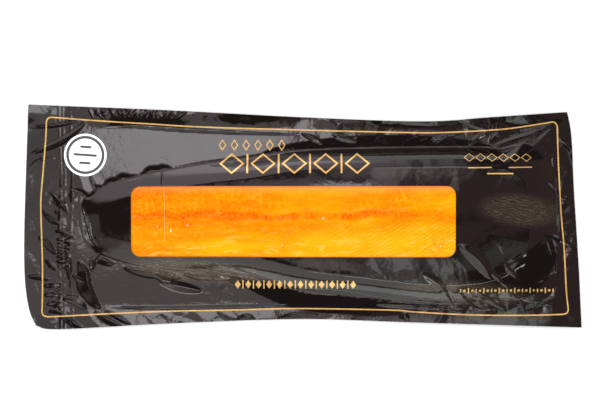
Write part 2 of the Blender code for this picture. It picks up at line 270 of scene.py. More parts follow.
# The main creases: points in mm from tail to head or from the fillet outwards, the height of the
# fold in mm (a groove if below 0), and how far its two faces run to the left and right of the line.
CREASES = [
    # slits along the foot of the fillet at the tail end of its back edge
    ([(-274, 32), (-264, 29), (-257, 23), (-251, 23), (-241, 30)], -0.60, 5.8, 0.9),
    ([(-248, 37), (-241, 32), (-234, 26)], -0.55, 5.2, 1.2),
    ([(-242, 33.5), (-233, 35), (-228, 39.5), (-219, 40), (-213, 44.5), (-204, 44), (-190, 48)],
     -0.82, 7.8, 0.9),
    ([(-194, 49), (-187, 50), (-181, 53.5), (-172, 53.5), (-166, 56), (-154, 57)], -0.76, 7.4, 0.9),
    ([(-252, 50), (-247, 40), (-244, 31)], 0.20, 1.6, 3.6),
    ([(-157, 57), (-120, 63), (-80, 68), (-40, 74), (0, 82)], -0.30, 2.2, 0.9),
    ([(-166.5, 55), (-166.0, 46), (-165.5, 33)], -1.1, 1.7, 1.7),
    # folds from the rim up to the upper left corner
    ([(-326, 106), (-288, 110), (-259, 116)], 0.55, 1.0, 3.8),
    ([(-322, 75), (-288, 91), (-268, 104), (-257, 115)], 1.0, 1.2, 7.0),
    ([(-326, 55), (-314, 67), (-292, 70)], 0.35, 0.9, 2.2),
    # edge of the flat panel under the upper line
    ([(-245, 108), (-200, 107), (-140, 103), (-60, 99), (0, 97)], -0.8, 1.6, 2.2),
    # valley between the upper line and the back edge, towards the head
    ([(-50, 74), (-3, 78.6), (80, 81.6), (193, 82.6), (232, 80)], -1.6, 15.0, 3.0),
    ([(-2, 99), (14, 94), (24, 86)], 0.9, 1.5, 4.5),
    ([(34, 99), (46, 94), (62, 90)], 0.7, 1.5, 3.5),
    ([(152, 92), (172, 97), (188, 99)], 0.7, 2.0, 2.5),
    # fan of folds that meets the upper line towards the head
    ([(212, 128), (218, 112), (222, 96)], -1.2, 5.0, 4.0),
    ([(240, 126), (234, 112), (231, 98)], 1.1, 4.0, 3.0),
    ([(180, 117), (205, 107), (228, 101)], 0.9, 4.0, 3.0),
    ([(221, 88), (228, 96), (238, 99)], 0.9, 3.0, 3.0),
    ([(195, 84), (207, 94), (220, 99)], 1.0, 4.0, 3.5),
    # folds into the upper right corner
    ([(222, 82), (250, 92), (275, 101), (296, 110)], 1.5, 4.0, 3.0),
    ([(238, 94), (262, 98), (290, 108)], -1.0, 3.0, 3.0),
    ([(262, 74), (278, 88), (294, 104)], 0.8, 4.0, 4.0),
    ([(258, 102), (278, 105), (295, 110)], 0.8, 2.0, 2.0),
    # head side
    ([(303, 92), (318, 80), (322, 60)], 0.9, 4.0, 5.0),
    ([(296, 70), (300, 30), (300, -10)], 1.0, 3.0, 4.0),
    ([(285, 42), (296, 33), (304, 24), (318, 20)], 0.9, 2.5, 3.0),
    ([(280, -18), (300, -25), (318, -34), (325, -40)], 1.0, 3.0, 3.0),
    ([(292, -22), (300, -45), (301, -72)], 0.9, 4.0, 4.0),
    ([(288, -24), (297, -50)], -0.9, 3.0, 3.0),
    # lens and blob on the fillet's head end, right of the window
    ([(183, -33), (198, -43), (211, -56), (221, -72)], 2.3, 10.0, 8.5),
    ([(240, -56), (262, -42), (284, -24)], 0.35, 2.5, 4.0),
    ([(238, -56), (246, -66), (262, -77)], 0.9, 3.0, 3.0),
    ([(222, -66), (236, -78), (244, -84)], 1.0, 2.5, 2.5),
    ([(262, -80), (282, -74), (300, -66)], 0.9, 3.0, 4.0),
    # folds at the lower right
    ([(200, -84), (220, -98), (241, -111)], 1.7, 3.0, 4.0),
    ([(183, -84), (203, -103), (222, -110)], -1.0, 4.0, 4.0),
    ([(250, -96), (272, -99), (300, -106)], 0.9, 3.0, 3.0),
    ([(262, -110), (282, -103), (300, -94)], 0.9, 2.5, 3.0),
    ([(276, -92), (270, -104)], 0.8, 2.0, 2.0),
    ([(166, -82), (176, -96), (180, -106)], -1.0, 4.0, 4.0),
    ([(140, -66), (158, -78), (172, -92)], 0.8, 6.0, 6.0),
    # ridge that runs in from the belly's edge over the lower side of the fillet
    ([(-120, -49), (-90, -59), (-60, -69), (-32, -79), (-3, -86), (50, -91), (92, -98), (155, -103)],
     0.8, 2.4, 1.5),
    ([(-249, -50), (-236, -50), (-223, -56)], 1.0, 1.5, 7.0),
    ([(-250, -64), (-248, -52), (-241, -44)], 1.4, 3.0, 3.5),
    ([(-214, -59), (-190, -63), (-165, -66), (-143, -72)], 1.3, 1.6, 8.5),
    ([(-176, -66), (-168, -72), (-156, -76)], 0.7, 2.0, 4.0),
    # dark slopes under the belly's edge
    ([(-142, -67), (-112, -67), (-84, -71)], 1.4, 1.8, 9.0),
    ([(-104, -66), (-60, -72), (-3, -88), (50, -93), (92, -99), (160, -104)], 1.9, 4.0, 23.0),
    # dark hollow beside the seal at the lower left
    ([(-265, -52), (-256, -64), (-253, -80), (-246, -97), (-239, -108)], 2.0, 2.0, 14.5),
    ([(-274, -68), (-264, -74), (-256, -76)], 0.6, 2.0, 3.0),
    # folds across the left rim
    ([(-327, -70), (-312, -70), (-299, -74)], 0.65, 1.0, 4.8),
    ([(-313, -24), (-302, -28), (-292, -44)], 0.95, 1.2, 7.0),
    ([(-305, -50), (-298, -55), (-291, -64)], 0.60, 1.0, 4.2),
    ([(-308, 8), (-298, 0), (-287, -9)], 0.80, 1.2, 6.0),
    ([(-300, 30), (-287, 18), (-278, 4)], 0.50, 1.2, 4.5),
    ([(-294, -16), (-282, -18), (-270, -25)], 0.50, 1.2, 4.0),
    ([(-281, -38), (-278, -54), (-277, -76)], 0.60, 4.4, 1.0),
    ([(-262, 14), (-256, -6), (-252, -24), (-243, -36)], -0.8, 3.0, 6.0),
    # the stack of small folds at the lower left
    ([(-307, -82), (-297, -77), (-286, -80)], 0.95, 1.2, 7.0),
    ([(-305, -93), (-297, -88), (-286, -91)], 0.95, 1.2, 7.0),
    ([(-303, -104), (-295, -98), (-287, -102)], 0.95, 1.2, 7.0),
    ([(-301, -113), (-294, -109), (-287, -113)], 0.70, 1.2, 5.0),
    # lower left corner
    ([(-284, -97), (-270, -101), (-256, -110)], 1.3, 8.0, 2.0),
    ([(-286, -116), (-274, -122), (-261, -131)], 0.9, 1.2, 6.5),
    ([(-247, -112), (-232, -120), (-213, -129)], 0.9, 1.2, 6.5),
    ([(-234, -111), (-220, -117), (-203, -127)], 0.7, 1.2, 5.0),
    # bright fold inside the lower line
    ([(-232, -107), (-160, -107), (-80, -106), (-10, -104)], 0.9, 1.2, 2.6),
    ([(85, -104), (120, -106), (160, -108), (195, -111)], 0.9, 1.2, 2.6),
    # dents in the lower rim
    ([(-78, -122), (-66, -119), (-55, -123)], -0.9, 4.0, 3.0),
    ([(-30, -121), (-5, -117), (20, -117)], -0.8, 4.0, 3.0),
    ([(118, -112), (124, -122)], -0.9, 5.0, 7.0),
    ([(-170, -77), (-140, -83), (-118, -88)], -0.7, 5.0, 7.0),
]

# Regions of crumpled film: centre and radii in mm, and the share of coarse, middle and fine facets
REGIONS = [
    ((-292, 0), (34, 125), (0.3, 0.4, 0.3)),
    ((-285, 20), (17, 17), (0.2, 0.9, 2.6)),
    ((-215, 126), (58, 7), (0.0, 1.0, 3.2)),
    ((60, 118), (190, 12), (1.0, 1.0, 0.4)),
    ((90, 92), (110, 10), (0.2, 0.9, 0.4)),
    ((262, 100), (46, 26), (0.4, 0.6, 0.3)),
    ((318, 0), (14, 120), (0.5, 1.2, 1.0)),
    ((240, -97), (72, 24), (0.6, 1.4, 1.0)),
    ((296, 10), (16, 46), (0.3, 1.4, 1.6)),
    ((-60, -92), (62, 20), (0.1, 0.2, 0.1)),
    ((-218, 22), (26, 13), (0.3, 0.9, 0.3)),
    ((-288, -92), (24, 36), (0.2, 0.5, 0.9)),
    ((180, 60), (70, 26), (0.5, 0.7, 0.4)),
    ((215, -45), (60, 36), (0.3, 0.4, 0.3)),
    ((40, -66), (120, 14), (0.4, 0.8, 0.6)),
    ((-150, -123), (150, 8), (0.6, 0.6, 0.2)),
]
# Panels where the film is stretched nearly flat: centre and radii in mm
FLAT_PANELS = [((-128, 82), (124, 28)), ((-190, -88), (72, 22))]
# Coarse, middle and fine facets: their size in metres, seed, stretch along X and Y, and turn
FACETS = [(30 * MM, 3, (1.0, 1.0), 0.0), (12 * MM, 5, (1.0, 1.5), 0.5), (4.5 * MM, 8, (1.0, 1.0), 0.0)]
# Their heights in mm, and the share of each that is everywhere
FACET_HEIGHTS = (0.55, 0.24, 0.060)
BASE_SHARES = (0.20, 0.12, 0.12)
# Tension folds: from this X on towards the head, and in front of this Y, in mm
FOLDS_FROM = (120, 10)
# Seal: each ridge's X and half width, and each row of crimps' X, ends in Y and spacing, in mm
RIDGES = [(-287.5, 1.6), (-283.0, 1.4), (-274.0, 2.0)]
CRIMPS = [(-288, -62, -18, 4.6), (-280, -66, -8, 5.3), (-291, -116, -76, 9.0)]


class Film:
    """The height of the pouch's upper film over any point."""

    def __init__(self):
        centre = pouch_outline()[1]
        self.fillet = evenly(closed_outline(FILLET_EDGES, sharp_corners=False) - centre, 1.5 * MM)
        self.near = KDTree(len(self.fillet))
        for k, point in enumerate(self.fillet):
            self.near.insert((*point, 0.0), k)
        self.near.balance()
        self.body = self.body_heights()
        self.facets = [Facets(*kind) for kind in FACETS]
        self.folds = CREASES + tension_folds(self.fillet) + crossed_folds()

    def outside(self, points):
        """The distance to the fillet's outline, below 0 inside it."""
        nearest = np.array([self.near.find((x, y, 0.0))[1] for x, y in points])
        away = np.full(len(points), 1e9)
        for first in (nearest - 1, nearest):
            start = self.fillet[first]
            along = self.fillet[(first + 1) % len(self.fillet)] - start
            share = ((points - start) * along).sum(1) / (along**2).sum(1)
            off = points - start - np.clip(share, 0, 1)[:, None] * along
            away = np.minimum(away, np.linalg.norm(off, axis=1))
        return np.where(is_inside(points, self.fillet), -away, away)

    def body_heights(self):
        """The fillet's height without its rounded edge, carried on outwards past the edge."""
        raster = Raster((-0.30, -0.13), (0.32, 0.11), 3 * MM)
        points = raster.points
        tree = tree_of(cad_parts["salmon_side"])
        heights = cast_down(tree, points)
        deep = self.outside(points) < -ROUND_IN * 0.8
        known = KDTree(int(deep.sum()))
        for k in np.flatnonzero(deep):
            known.insert((*points[k], 0.0), int(k))
        known.balance()
        filled = [heights[known.find((x, y, 0.0))[1]] for x, y in points]
        raster.values = np.array(filled).reshape(raster.size)
        raster.blur(6 * MM)
        return raster

    def rim(self, points):
        x, y = points.T
        towards_head = smooth((x - RIM_HEAD_FROM) / RIM_HEAD_RUN)
        front = smooth((-y - RIM_FRONT) / FRONT_WIDTH) * (FRONT_RISE + FRONT_HEAD_RISE * towards_head)
        back = smooth((y - RIM_BACK) / BACK_WIDTH) * (BACK_RISE + BACK_HEAD_RISE * towards_head)
        wave = np.sin(31 * x + 0.6) * np.cos(23 * y + 9 * x)
        sunk = SUNK_DEPTH * smooth((-x - SUNK_FROM) / SUNK_RUN)
        return RIM_Z - sunk + front * (1 + 0.5 * wave) + back * (1 + 0.9 * wave)

    def height(self, points):
        outside = self.outside(points)
        rim = self.rim(points)
        round_out = ROUND_OUT + HEAD_ROUND_OUT * smooth((points[:, 0] - HEAD_FROM) / HEAD_RUN)
        fall = np.clip((outside + ROUND_IN) / (ROUND_IN + round_out), 0, 1)
        body = self.body.sample(points) + FILM_LIFT
        body -= TAIL_SLOPE * np.maximum(TAIL_FROM - points[:, 0], 0)
        height = rim + (body - rim) * np.cos(0.5 * math.pi * fall)
        height += self.crumple(points)
        for line, rise, left, right in self.folds:
            add_fold(height, points, np.array(line) * MM, rise * MM, left * MM, right * MM)
        height += seal_ridges(points)
        return np.clip(height, LOWEST, HIGHEST)

    def crumple(self, points):
        shares = [np.full(len(points), share) for share in BASE_SHARES]
        for centre, radii, weights in REGIONS:
            near = nearness(points, centre, radii, 2)
            for share, weight in zip(shares, weights):
                share += weight * near
        flat = sum(nearness(points, centre, radii, 4) for centre, radii in FLAT_PANELS)
        total = np.zeros(len(points))
        for facets, share, high in zip(self.facets, shares, FACET_HEIGHTS):
            total += high * MM * share * (1 - 0.9 * flat) * facets.sample(points)
        return total


def nearness(points, centre, radii, power):
    """1 at the centre and near 0 beyond the radii, which are in mm. The power makes it box-like."""
    return np.exp(-(((points / MM - centre) / radii) ** power).sum(axis=1))


def tension_folds(fillet):
    """Short folds that leave the fillet's edge outwards, where the film is pulled to the rim."""
    chance = random.Random(21)
    along = np.roll(fillet, -3, axis=0) - np.roll(fillet, 3, axis=0)
    out = np.column_stack([along[:, 1], -along[:, 0]])
    out /= np.linalg.norm(out, axis=1)[:, None]
    folds = []
    k = 0
    while k < len(fillet):
        foot, (ox, oy) = fillet[k] / MM, out[k]
        if foot[0] >= FOLDS_FROM[0] and foot[1] <= FOLDS_FROM[1]:
            turn = chance.uniform(-0.5, 0.5)
            c, s = math.cos(turn), math.sin(turn)
            way = np.array((c * ox - s * oy, s * ox + c * oy))
            start = foot + way * chance.uniform(1, 9)
            end = start + way * chance.uniform(12, 34)
            middle = (start + end) / 2 + np.array((-way[1], way[0])) * chance.uniform(-4, 4)
            rise = chance.choice((-1, 1, 1)) * chance.uniform(0.2, 0.6)
            folds.append(([start, middle, end], rise, chance.uniform(2, 9), chance.uniform(2, 9)))
        k += chance.randint(9, 22)
    return folds


def crossed_folds():
    """Fine folds that cross each other in the upper rim, at the tail end."""
    chance = random.Random(4)
    folds = []
    for k in range(14):
        for lean in (-1, 1):
            x = -246 + 7.5 * k + chance.uniform(-3, 3)
            end = x + lean * chance.uniform(6, 16)
            folds.append(([(x, 115.5), (end, 129)], chance.uniform(0.12, 0.26), 1.3, 2.4))
    return folds


def add_fold(height, points, line, rise, left, right):
    """Adds one fold to the heights: two flat faces that meet in a crease along the line."""
    line = evenly(smooth_line(line, samples=6), 3 * MM)
    reach = max(left, right)
    low, high = line.min(0) - reach, line.max(0) + reach
    near = np.flatnonzero(((points > low) & (points < high)).all(1))
    if not len(near):
        return
    spots = points[near]
    best = np.full(len(near), 1e9)
    side = np.zeros(len(near))
    place = np.zeros(len(near))
    for k, (a, b) in enumerate(zip(line, line[1:])):
        along = b - a
        share = np.clip(((spots - a) @ along) / (along @ along), 0, 1)
        off = spots - (a + share[:, None] * along)
        away = np.linalg.norm(off, axis=1)
        closer = away < best
        turn = along[0] * off[:, 1] - along[1] * off[:, 0]
        best = np.where(closer, away, best)
        side = np.where(closer, turn, side)
        place = np.where(closer, k + share, place)
    taper = np.sin(math.pi * np.clip(place / (len(line) - 1), 0.001, 0.999)) ** 0.6
    run = np.where(side > 0, left, right) * taper
    height[near] += rise * taper * np.clip(1 - best / run, 0, 1)


def seal_ridges(points):
    """The ridges of the seal at the tail end, and the short crimps beside them."""
    x, y = points.T / MM
    total = np.zeros(len(points))
    for middle, width in RIDGES:
        line = middle + 1.2 * np.sin(y / 26)
        total += 0.09 * np.clip(1 - np.abs(x - line) / width, 0, 1)
    for middle, low, high, pitch in CRIMPS:
        inside = smooth((y - low) / 8) * smooth((high - y) / 8) * np.exp(-(((x - middle) / 3.0) ** 2))
        phase = y / pitch + 0.35 * np.sin(y / 5.1 + middle)
        total += 0.28 * inside * (1 - 2 * np.abs(2 * (phase % 1) - 1))
    return total * MM


# Film meshes


def window_distance(points):
    """The distance to the window's outline, below 0 inside it."""
    over = np.abs(points - WINDOW_MIDDLE) - (WINDOW_HALF - WINDOW_CORNER)
    outside = np.linalg.norm(np.maximum(over, 0), axis=1)
    return outside + np.minimum(over.max(axis=1), 0) - WINDOW_CORNER


def steps_between(stops):
    """Numbers from the first stop to the last, about a pitch apart, with every stop among them."""
    runs = []
    for a, b in zip(stops, stops[1:]):
        runs.append(np.linspace(a, b, max(1, round((b - a) / PITCH)), endpoint=False))
    return np.concatenate([*runs, [stops[-1]]])


class PouchGrid:
    """A grid over the pouch. Its outer lines follow the cut edges and its inner ones the window's."""

    def __init__(self):
        outline, centre = pouch_outline()
        edges = {name: smooth_line(points) - centre for name, points in POUCH_EDGES.items()}
        self.low, self.high = outline.min(0) - centre, outline.max(0) - centre
        u = steps_between([self.low[0], WINDOW_LOW[0], WINDOW_HIGH[0], self.high[0]])
        v = steps_between([self.low[1], WINDOW_LOW[1], WINDOW_HIGH[1], self.high[1]])
        self.shape = (len(u), len(v))
        x, y = (grid.ravel() for grid in np.meshgrid(u, v, indexing="ij"))
        first = self.bent(y, 1, x, edges["lower"], edges["upper"])
        across = self.bent(x, 0, first, edges["tail"], edges["head"])
        up = self.bent(y, 1, across, edges["lower"], edges["upper"])
        self.points = np.column_stack([across, up])
        self.round_window_corners()

    def bent(self, value, axis, other, low_edge, high_edge):
        """Moves the outer part of the grid, so that its last line lies on the pouch's edge."""
        inner_low, inner_high = STRAIGHT[axis]
        edges = []
        for edge in (low_edge, high_edge):
            order = np.argsort(edge[:, 1 - axis])
            edges.append(np.interp(other, edge[order, 1 - axis], edge[order, axis]))
        low_share = np.clip((inner_low - value) / (inner_low - self.low[axis]), 0, 1)
        high_share = np.clip((value - inner_high) / (self.high[axis] - inner_high), 0, 1)
        value = value + low_share * (edges[0] - self.low[axis])
        return value + high_share * (edges[1] - self.high[axis])

    def round_window_corners(self):
        """Moves the points nearest to the window's corner arcs on to them."""
        offset = self.points - WINDOW_MIDDLE
        arc_middle = WINDOW_HALF - WINDOW_CORNER
        over = np.abs(offset) - arc_middle
        radius = np.linalg.norm(over, axis=1)
        near = (over > 0).all(1) & (np.abs(radius - WINDOW_CORNER) < 0.5 * PITCH)
        moved = over[near] * (WINDOW_CORNER / radius[near])[:, None]
        self.points[near] = WINDOW_MIDDLE + np.sign(offset[near]) * (arc_middle + moved)

    def faces(self):
        """Triangles, each square cut so that no corner arc of the window crosses a triangle."""
        count = self.shape[1]
        i, j = (k.ravel() for k in np.meshgrid(*(np.arange(n - 1) for n in self.shape), indexing="ij"))
        a, b = i * count + j, (i + 1) * count + j
        c, d = b + 1, a + 1
        away = np.abs(window_distance(self.points))
        slanted = away[a] + away[c] > away[b] + away[d]
        first = np.where(slanted[:, None], np.column_stack([a, b, d]), np.column_stack([a, b, c]))
        second = np.where(slanted[:, None], np.column_stack([b, c, d]), np.column_stack([a, c, d]))
        return np.vstack([first, second])


def in_scene(name, data):
    obj = bpy.data.objects.new(name, data)
    bpy.context.scene.collection.objects.link(obj)
    return obj


def mesh_object(name, points, faces, material):
    """A mesh of the points that its faces use."""
    used, index = np.unique(faces, return_inverse=True)
    mesh = bpy.data.meshes.new(name)
    mesh.from_pydata(points[used].tolist(), [], index.reshape(faces.shape).tolist())
    mesh.validate()
    mesh.shade_smooth()
    mesh.materials.append(material)
    return in_scene(name, mesh)


def placed(obj, slot, *nodes):
    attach(obj, "root")
    if nodes:
        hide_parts(*nodes)
    return obj


def under_film(grid, top):
    """Heights of the under film: on the ground under the fillet, against the upper film at the rim."""
    risen = smooth((film.outside(grid.points) - ROUND_OUT) / UNDER_RUN)
    return risen * np.maximum(top - SEAL_GAP, 0)


def make_films(black, clear):
    grid = PouchGrid()
    top = film.height(grid.points)
    points = np.column_stack([grid.points, top])
    faces = grid.faces()
    middles = grid.points[faces].mean(axis=1)
    in_window = window_distance(middles) < 0
    upper = mesh_object("film_upper", points, faces[~in_window], black)

    under_z = under_film(grid, top)
    under_points = np.column_stack([grid.points, under_z])
    every = 3
    count = len(points)
    index = np.arange(count).reshape(grid.shape)
    kept = index[np.ix_(*(sorted({*range(0, n, every), n - 1}) for n in grid.shape))]
    corners = kept[:-1, :-1], kept[:-1, 1:], kept[1:, 1:], kept[1:, :-1]
    under_faces = np.stack(corners, axis=-1).reshape(-1, 4)
    under = mesh_object("film_under", under_points, under_faces, black)

    # the grid's outer points, anticlockwise
    loop = np.concatenate([index[:, 0], index[-1, 1:], index[-2::-1, -1], index[0, -2:0:-1]])
    following = np.roll(loop, -1)
    hem_faces = np.column_stack([loop + count, following + count, following, loop])
    hem = mesh_object("film_hem", np.vstack([points, under_points]), hem_faces, black)

    near_window = window_distance(middles) < PANEL_LAP
    lowered = points - (0, 0, PANEL_DROP)
    panel = mesh_object("window_panel", lowered, faces[near_window], clear)

    placed(upper, "black_film", "film_bag")
    placed(under, "black_film")
    placed(hem, "black_film")
    placed(panel, "clear_film", "window_film")
    return upper, panel


# Prints that lie on the film


def draped(points, lift):
    """The points laid on the film, raised by lift."""
    heights = np.max([cast_down(tree, points) for tree in film_trees], axis=0)
    return np.column_stack([points, heights + lift])


def ribbon(name, line, width, material, slot, lift=0.12 * MM, closed=False):
    """A thin band along the line, laid on the film."""
    line = evenly(np.array(line), 1.2 * MM)
    if closed:
        line = line[:-1]
        along = np.roll(line, -1, axis=0) - np.roll(line, 1, axis=0)
    else:
        along = np.gradient(line, axis=0)
    side = np.column_stack([-along[:, 1], along[:, 0]]) / np.linalg.norm(along, axis=1)[:, None]
    rows = [draped(line + side * width * share, lift) for share in (-0.5, 0.0, 0.5)]
    count = len(line)
    faces = []
    for k in range(count if closed else count - 1):
        following = (k + 1) % count
        for row in (0, 1):
            low, high = row * count, (row + 1) * count
            faces.append([low + k, low + following, high + following, high + k])
    return placed(mesh_object(name, np.vstack(rows), np.array(faces), material), slot)


def rounded_loop(corners, sides, radius, samples=6):
    """A closed line through four curved sides, with its corners rounded."""
    trimmed = []
    for side in sides:
        line = evenly(smooth_line(side), 1.0 * MM)
        from_start = np.linalg.norm(line - line[0], axis=1)
        from_end = np.linalg.norm(line - line[-1], axis=1)
        trimmed.append(line[(from_start >= radius) & (from_end >= radius)])
    ring = []
    for k, line in enumerate(trimmed):
        ring.append(line)
        following = trimmed[(k + 1) % len(trimmed)]
        t = np.linspace(0, 1, samples + 2)[1:-1, None]
        ring.append((1 - t) ** 2 * line[-1] + 2 * t * (1 - t) * corners[k] + t**2 * following[0])
    ring.append(trimmed[0][:1])
    return np.vstack(ring)


def print_shape(name, outlines, material, slot, lift=0.14 * MM):
    """Filled shapes laid on the film. Each is a closed outline, or an outline and its hole."""
    made = bmesh.new()
    for outline in outlines:
        rings = outline if isinstance(outline, tuple) else (outline,)
        bm = bmesh.new()
        edges = []
        for ring in rings:
            verts = [bm.verts.new((x * MM, y * MM, 0)) for x, y in ring]
            edges += [bm.edges.new(pair) for pair in zip(verts, verts[1:] + verts[:1])]
        bmesh.ops.triangle_fill(bm, use_beauty=True, edges=edges)
        for _ in range(6):
            long_edges = [e for e in bm.edges if e.calc_length() > 2.2 * MM]
            if not long_edges:
                break
            bmesh.ops.subdivide_edges(bm, edges=long_edges, cuts=1)
            bmesh.ops.triangulate(bm, faces=bm.faces)
        for face in bm.faces:
            if face.normal.z < 0:
                face.normal_flip()
        mesh = bpy.data.meshes.new("shape")
        bm.to_mesh(mesh)
        bm.free()
        made.from_mesh(mesh)
        bpy.data.meshes.remove(mesh)
    mesh = bpy.data.meshes.new(name)
    made.to_mesh(mesh)
    made.free()
    flat = np.array([v.co.xy for v in mesh.vertices])
    mesh.vertices.foreach_set("co", draped(flat, lift).ravel())
    mesh.materials.append(material)
    mesh.shade_smooth()
    return placed(in_scene(name, mesh), slot)


def lozenge(x, y, width, height):
    return [(x + width / 2, y), (x, y + height / 2), (x - width / 2, y), (x, y - height / 2)]


def lozenge_ring(x, y, width, height, line):
    inner = 1 - 2 * line / min(width, height)
    return lozenge(x, y, width, height), lozenge(x, y, width * inner, height * inner)


def oval(x, y, width, height, count=32):
    turns = [2 * math.pi * k / count for k in range(count)]
    return [(x + width / 2 * math.cos(t), y + height / 2 * math.sin(t)) for t in turns]


def bar(x, y, width, height, turn=0.0):
    c, s = math.cos(turn) / 2, math.sin(turn) / 2
    corners = [(-width, -height), (width, -height), (width, height), (-width, height)]
    return [(x + c * a - s * b, y + s * a + c * b) for a, b in corners]


# Materials


class Nodes:
    """Short calls that add and join nodes in a tree."""

    def __init__(self, tree):
        self.tree = tree

    def add(self, kind, inputs=None, **settings):
        node = self.tree.nodes.new(kind)
        for key, value in settings.items():
            setattr(node, key, value)
        for key, value in (inputs or {}).items():
            self.join(value, node.inputs[key])
        return node

    def join(self, value, socket):
        if isinstance(value, bpy.types.NodeSocket):
            self.tree.links.new(value, socket)
        else:
            socket.default_value = value

    def math(self, operation, a, b=0.0):
        return self.add("ShaderNodeMath", {0: a, 1: b}, operation=operation).outputs[0]

    def times(self, first, *others):
        for other in others:
            first = self.math("MULTIPLY", first, other)
        return first

    def ramp(self, value, low, high, start=0.0, end=1.0, soft=True):
        kind = "SMOOTHSTEP" if soft else "LINEAR"
        inputs = dict(enumerate((value, low, high, start, end)))
        return self.add("ShaderNodeMapRange", inputs, interpolation_type=kind).outputs[0]

    def mix(self, share, a, b):
        inputs = {"Factor": share, "A": colour(a), "B": colour(b)}
        return self.add("ShaderNodeMix", inputs, data_type="RGBA").outputs["Result"]


class Look(Nodes):
    """The nodes of a new material."""

    def __init__(self, name):
        self.material = bpy.data.materials.new(name)
        self.material.use_nodes = True
        super().__init__(self.material.node_tree)
        self.shader = self.tree.nodes["Principled BSDF"]
        self.place = self.add("ShaderNodeTexCoord").outputs["Object"]

    def moved(self, place=(0, 0, 0), turn=0.0, scale=(1, 1, 1)):
        """The object's coordinates about a place, turned and scaled."""
        inputs = {"Vector": self.place, "Location": place, "Rotation": (0, 0, turn), "Scale": scale}
        return self.add("ShaderNodeMapping", inputs, vector_type="TEXTURE").outputs[0]

    def length(self, *moving):
        """The distance from a place, in the measure that moved() gives."""
        inputs = {0: self.moved(*moving)}
        return self.add("ShaderNodeVectorMath", inputs, operation="LENGTH").outputs["Value"]

    def noise(self, size, detail=3.0, roughness=0.5, place=None, distortion=0.0):
        """Noise with patches of about that size in metres."""
        inputs = {"Vector": place or self.place, "Scale": 1 / size, "Detail": detail,
                  "Roughness": roughness, "Distortion": distortion}
        return self.add("ShaderNodeTexNoise", inputs).outputs["Fac"]

    def patches(self, size, low, high, start=0.0, end=1.0, **noise):
        """Noise that goes from start to end between two of its levels."""
        return self.ramp(self.noise(size, **noise), low, high, start, end)

    def waves(self, spacing, place=None, distortion=2.0, detail=2.0, detail_scale=1.0):
        """Bands across X, that far apart in metres."""
        inputs = {"Vector": place or self.place, "Scale": 0.314 / spacing, "Distortion": distortion,
                  "Detail": detail, "Detail Scale": detail_scale}
        return self.add("ShaderNodeTexWave", inputs, bands_direction="X").outputs["Fac"]

    def bump(self, height, distance, strength, **more):
        inputs = {"Strength": strength, "Distance": distance, "Height": height, **more}
        return self.add("ShaderNodeBump", inputs).outputs[0]

    def finish(self, **values):
        """Sets the shader's inputs by name, with _ for each space."""
        for name, value in values.items():
            self.join(colour(value), self.shader.inputs[name.replace("_", " ")])
        return self.material


def colour(value):
    return (*value, 1.0) if isinstance(value, tuple) and len(value) == 3 else value


# Faint brown patches: middle, turn and radii in metres, and strength
BROWN_PATCHES = [
    ((-0.120, -0.064, 0), -0.08, (0.100, 0.015, 1), 1.0),
    ((0.190, -0.090, 0), -0.05, (0.090, 0.016, 1), 0.55),
    ((0.255, 0.008, 0), -0.10, (0.052, 0.021, 1), 0.50),
]


def black_film_material():
    n = Look("black_film")
    lines = n.waves(0.0034, n.moved(turn=1.35), distortion=9.0, detail=3.0, detail_scale=1.6)
    worn = n.patches(0.007, 0.38, 0.60, 0.25, detail=4.0)
    lines = n.times(n.ramp(lines, 0.45, 0.8), worn)
    brown = 0.0
    for place, turn, radii, strength in BROWN_PATCHES:
        brown = n.math("MAXIMUM", brown, n.ramp(n.length(place, turn, radii), 0.55, 1.1, strength, 0.0))
    print_share = n.times(n.ramp(lines, 0.0, 1.0, 0.25, 0.85, soft=False), brown)
    shade = n.mix(n.noise(0.09, detail=2.0), (0.0040, 0.0027, 0.0023), (0.0068, 0.0046, 0.0040))
    base = n.mix(print_share, shade, (0.125, 0.092, 0.066))
    scuff = n.noise(0.030, detail=5.0, roughness=0.65)
    roughness = n.ramp(scuff, 0.35, 0.75, 0.035, 0.075)
    fine = n.noise(0.0022, detail=2.0, distortion=0.8)
    broad = n.noise(0.0075, detail=2.0, roughness=0.45, distortion=1.2)
    normal = n.bump(broad, 0.00020, 0.22, Normal=n.bump(fine, 0.00006, 0.20))
    return n.finish(Base_Color=base, Roughness=roughness, Normal=normal, IOR=1.52)


def clear_film_material():
    n = Look("clear_film")
    haze = n.mix(n.noise(0.020), (1.0, 0.38, 0.0), (1.0, 0.45, 0.01))
    normal = n.bump(n.noise(0.006, distortion=1.0), 0.0002, 0.4)
    return n.finish(Base_Color=haze, Roughness=0.08, Normal=normal, IOR=1.45, Alpha=0.04)


def plain(name, size, dark, light, roughness, detail=3.0, **values):
    """A look in patches of two tones. Its roughness is a number, or its patches' size, low and high."""
    n = Look(name)
    tone = n.mix(n.noise(size, detail), dark, light)
    if isinstance(roughness, tuple):
        size, low, high = roughness
        roughness = n.patches(size, 0.3, 0.7, low, high)
    return n.finish(Base_Color=tone, Roughness=roughness, **values)


